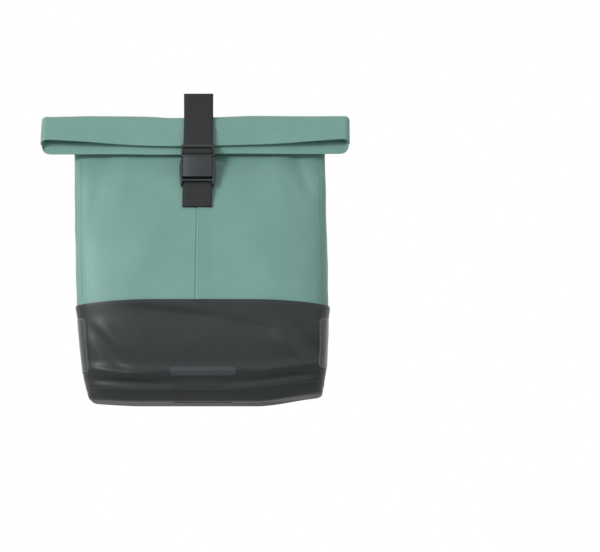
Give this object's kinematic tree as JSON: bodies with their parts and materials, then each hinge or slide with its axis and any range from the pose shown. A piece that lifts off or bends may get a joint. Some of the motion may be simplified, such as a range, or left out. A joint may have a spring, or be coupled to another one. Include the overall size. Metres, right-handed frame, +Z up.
{
  "type": "pannier bag",
  "caption": "Two-tone roll-top bicycle pannier bag with a webbing strap and snap buckle, rack hooks on a rail, stiff back and flat base.",
  "frame": {"origin": "middle of the bounding box on the ground, under the flat base that the bag stands on", "axes": "+Z up; the buckle side faces -Y and the rack hooks face +Y; +X along the rolled mouth, to the right seen from the front"},
  "size_m": [0.4016, 0.18, 0.404],
  "materials": {
    "upper_cloth": "matt",
    "lower_cloth": "matt",
    "webbing": "matt",
    "buckle_plastic": "satin",
    "hook_plastic": "satin",
    "liner_plastic": "matt",
    "rail_aluminium": "satin",
    "steel": "satin",
    "board_plastic": "matt",
    "patch_rubber": "satin",
    "reflective_trim": "satin",
    "magnet": "satin"
  },
  "bodies": {
    "bag": {"front_left_panel": "upper_cloth", "front_right_panel": "upper_cloth", "left_gusset": "upper_cloth", "right_gusset": "upper_cloth", "back_panel": "upper_cloth", "lower_front_panel": "lower_cloth", "lower_left_side": "lower_cloth", "lower_right_side": "lower_cloth", "lower_back_panel": "lower_cloth", "base_panel": "lower_cloth", "front_patch": "patch_rubber", "base_patch": "patch_rubber", "left_reflector": "reflective_trim", "right_reflector": "reflective_trim", "back_board": "board_plastic", "base_board": "board_plastic", "back_strap": "webbing", "lower_strap": "webbing", "buckle_base": "buckle_plastic", "buckle_base_magnet": "magnet", "top_rail": "rail_aluminium", "rail_end_caps": "hook_plastic", "rail_bolts": "steel", "rail_nuts": "steel", "carry_handle": "webbing", "handle_rivets": "steel", "lower_track": "hook_plastic", "track_bolts": "steel", "track_nuts": "steel"},
    "roll": {"mouth_outer_layer": "upper_cloth", "mouth_inner_layer": "upper_cloth", "load_strap": "webbing", "buckle_top": "buckle_plastic", "buckle_top_magnet": "magnet"},
    "left_hook_unit": {"left_hook": "hook_plastic", "left_tube_liner": "liner_plastic", "left_latch_pin": "steel", "left_latch_spring": "steel"},
    "right_hook_unit": {"right_hook": "hook_plastic", "right_tube_liner": "liner_plastic", "right_latch_pin": "steel", "right_latch_spring": "steel"},
    "left_latch_unit": {"left_latch": "liner_plastic"},
    "right_latch_unit": {"right_latch": "liner_plastic"},
    "lower_hook_unit": {"lower_hook": "hook_plastic"}
  },
  "joints": [
    {"name": "roll_open", "type": "hinge", "parent": "bag", "child": "roll", "pos_m": [0, 0.0202, 0.365], "axis": [-1, 0, 0], "range_deg": [0, 160]},
    {"name": "left_hook_slide", "type": "slide", "parent": "bag", "child": "left_hook_unit", "axis": [1, 0, 0], "range_m": [-0.012, 0.012]},
    {"name": "right_hook_slide", "type": "slide", "parent": "bag", "child": "right_hook_unit", "axis": [1, 0, 0], "range_m": [-0.012, 0.012]},
    {"name": "left_latch_open", "type": "hinge", "parent": "left_hook_unit", "child": "left_latch_unit", "pos_m": [-0.085, 0.0775, 0.3255], "axis": [1, 0, 0], "range_deg": [0, 60], "stiffness_Nm_per_rad": 0.02, "springref_deg": -28.65},
    {"name": "right_latch_open", "type": "hinge", "parent": "right_hook_unit", "child": "right_latch_unit", "pos_m": [0.085, 0.0775, 0.3255], "axis": [1, 0, 0], "range_deg": [0, 60], "stiffness_Nm_per_rad": 0.02, "springref_deg": -28.65},
    {"name": "lower_hook_slide", "type": "slide", "parent": "bag", "child": "lower_hook_unit", "axis": [1, 0, 0], "range_m": [-0.022, 0.022]}
  ]
}
